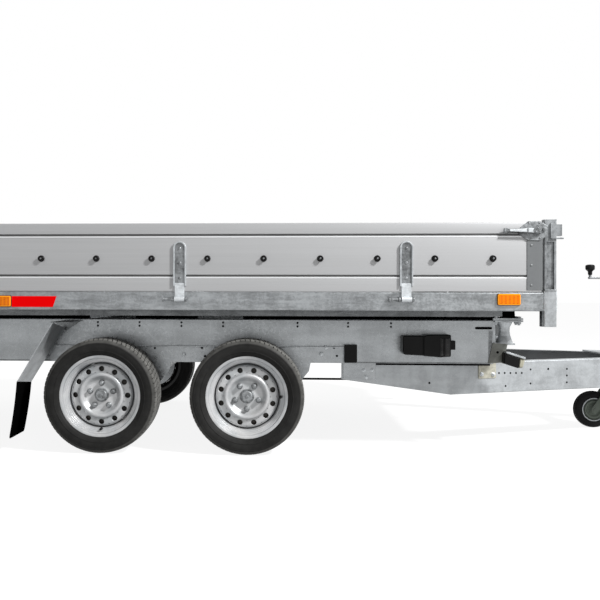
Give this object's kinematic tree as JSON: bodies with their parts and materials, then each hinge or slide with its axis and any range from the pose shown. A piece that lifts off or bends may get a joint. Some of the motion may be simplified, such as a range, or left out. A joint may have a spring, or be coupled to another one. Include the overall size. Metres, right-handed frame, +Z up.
{
  "type": "tandem-axle tipper trailer",
  "caption": "Two-axle car trailer with a rear-tipping drop-side aluminium bed, telescopic cylinder, V-shaped drawbar, ball coupling and jockey wheel.",
  "frame": {"origin": "on the floor, midway along and across the trailer as it parks on its jockey wheel", "axes": "+X forward to the coupling, +Y to the trailer left, +Z up"},
  "size_m": [4.7162, 1.86, 1.057],
  "materials": {
    "galvanised_steel": "satin",
    "drawbar_steel": "satin",
    "aluminium": "satin",
    "silver_paint": "satin",
    "black_plastic": "matte",
    "rubber": "matte",
    "tyre": "matte",
    "amber_lens": "gloss",
    "red_lens": "gloss",
    "chromed_steel": "polished",
    "cast_iron": "matte",
    "floor_plate": "matte"
  },
  "bodies": {
    "chassis": {"chassis_rail_left": "galvanised_steel", "chassis_rail_right": "galvanised_steel", "chassis_crossmembers": "galvanised_steel", "tube_caps": "black_plastic", "axle_rails": "galvanised_steel", "drawbar_beam_left": "drawbar_steel", "drawbar_beam_right": "drawbar_steel", "drawbar_ties": "drawbar_steel", "overrun_device": "cast_iron", "shaft_gaiter": "rubber", "coupling_head": "drawbar_steel", "handbrake": "black_plastic", "mudflap_brackets": "galvanised_steel", "mudflaps": "rubber", "bed_rests": "galvanised_steel", "bed_buffers": "rubber", "marker_lamps": "black_plastic", "wheel_chock": "black_plastic", "light_bar": "galvanised_steel", "tail_lamps": "red_lens", "tip_hinge_brackets": "galvanised_steel", "cylinder_cradle": "galvanised_steel", "axle_front": "galvanised_steel", "axle_rear": "galvanised_steel", "jockey_tube": "galvanised_steel", "jockey_crank": "black_plastic"},
    "bed": {"bed_floor": "floor_plate", "bed_side_rail_left": "galvanised_steel", "bed_side_rail_right": "galvanised_steel", "bed_end_rails": "galvanised_steel", "bed_crossmembers": "galvanised_steel", "bed_subframe_rails": "galvanised_steel", "corner_posts": "galvanised_steel", "headboard": "aluminium", "hinge_pins": "galvanised_steel", "side_lamps": "amber_lens", "tip_hinge_lugs": "galvanised_steel", "cylinder_bracket": "galvanised_steel"},
    "side_board_left": {"side_board_left": "aluminium", "side_fittings_left": "galvanised_steel"},
    "side_board_right": {"side_board_right": "aluminium", "side_fittings_right": "galvanised_steel"},
    "tailboard": {"tailboard": "aluminium", "tailboard_fittings": "galvanised_steel"},
    "cylinder": {"cylinder_barrel": "cast_iron"},
    "jockey_leg": {"jockey_leg": "galvanised_steel"},
    "jockey_fork": {"jockey_fork": "galvanised_steel"},
    "jockey_wheel": {"jockey_wheel": "rubber"},
    "stage_1": {"cylinder_stage_1": "chromed_steel"},
    "stage_2": {"cylinder_stage_2": "chromed_steel"},
    "stage_3": {"cylinder_stage_3": "chromed_steel"},
    "stage_4": {"cylinder_stage_4": "chromed_steel"},
    "wheel_front_left": {"tyre_front_left": "tyre", "rim_front_left": "silver_paint"},
    "wheel_front_right": {"tyre_front_right": "tyre", "rim_front_right": "silver_paint"},
    "wheel_rear_left": {"tyre_rear_left": "tyre", "rim_rear_left": "silver_paint"},
    "wheel_rear_right": {"tyre_rear_right": "tyre", "rim_rear_right": "silver_paint"}
  },
  "joints": [
    {"name": "bed_tip", "type": "hinge", "parent": "chassis", "child": "bed", "pos_m": [-2.2115, 0, 0.628], "axis": [0, -1, 0], "range_deg": [0, 45]},
    {"name": "side_board_left_fold", "type": "hinge", "parent": "bed", "child": "side_board_left", "pos_m": [-0.7215, 0.918, 0.707], "axis": [1, 0, 0], "range_deg": [-180, 0]},
    {"name": "side_board_right_fold", "type": "hinge", "parent": "bed", "child": "side_board_right", "pos_m": [-0.7215, -0.918, 0.707], "axis": [-1, 0, 0], "range_deg": [-180, 0]},
    {"name": "tailboard_fold", "type": "hinge", "parent": "bed", "child": "tailboard", "pos_m": [-2.3465, 0, 0.707], "axis": [0, 1, 0], "range_deg": [-180, 0]},
    {"name": "cylinder_swing", "type": "hinge", "parent": "chassis", "child": "cylinder", "pos_m": [-1.1295, 0, 0.43], "axis": [0, -1, 0], "range_deg": [0, 22.73]},
    {"name": "stage_1_slide", "type": "slide", "parent": "cylinder", "child": "stage_1", "axis": [0.0968, 0, 0.9953], "range_m": [0, 0.2092]},
    {"name": "stage_2_slide", "type": "slide", "parent": "stage_1", "child": "stage_2", "axis": [0.0968, 0, 0.9953], "range_m": [0, 0.2092]},
    {"name": "stage_3_slide", "type": "slide", "parent": "stage_2", "child": "stage_3", "axis": [0.0968, 0, 0.9953], "range_m": [0, 0.2092]},
    {"name": "stage_4_slide", "type": "slide", "parent": "stage_3", "child": "stage_4", "axis": [0.0968, 0, 0.9953], "range_m": [0, 0.2092]},
    {"name": "jockey_slide", "type": "slide", "parent": "chassis", "child": "jockey_leg", "axis": [0, 0, 1], "range_m": [-0.06, 0.12]},
    {"name": "jockey_swivel", "type": "hinge", "parent": "jockey_leg", "child": "jockey_fork", "pos_m": [1.5885, 0, 0.21], "axis": [0, 0, 1], "range_deg": [-180, 180]},
    {"name": "jockey_wheel_spin", "type": "hinge", "parent": "jockey_fork", "child": "jockey_wheel", "pos_m": [1.4885, 0, 0.1], "axis": [0, 1, 0], "continuous": true},
    {"name": "wheel_front_left_spin", "type": "hinge", "parent": "chassis", "child": "wheel_front_left", "pos_m": [-0.3865, 0.7725, 0.2625], "axis": [0, 1, 0], "continuous": true},
    {"name": "wheel_front_right_spin", "type": "hinge", "parent": "chassis", "child": "wheel_front_right", "pos_m": [-0.3865, -0.7725, 0.2625], "axis": [0, 1, 0], "continuous": true},
    {"name": "wheel_rear_left_spin", "type": "hinge", "parent": "chassis", "child": "wheel_rear_left", "pos_m": [-1.0565, 0.7725, 0.2625], "axis": [0, 1, 0], "continuous": true},
    {"name": "wheel_rear_right_spin", "type": "hinge", "parent": "chassis", "child": "wheel_rear_right", "pos_m": [-1.0565, -0.7725, 0.2625], "axis": [0, 1, 0], "continuous": true}
  ],
  "couplings": [
    {"joint": "cylinder_swing", "follows": "bed_tip", "ratio": 0.5007},
    {"joint": "stage_1_slide", "follows": "bed_tip", "m_per_rad": 0.26503},
    {"joint": "stage_2_slide", "follows": "bed_tip", "m_per_rad": 0.26503},
    {"joint": "stage_3_slide", "follows": "bed_tip", "m_per_rad": 0.26503},
    {"joint": "stage_4_slide", "follows": "bed_tip", "m_per_rad": 0.26503}
  ]
}
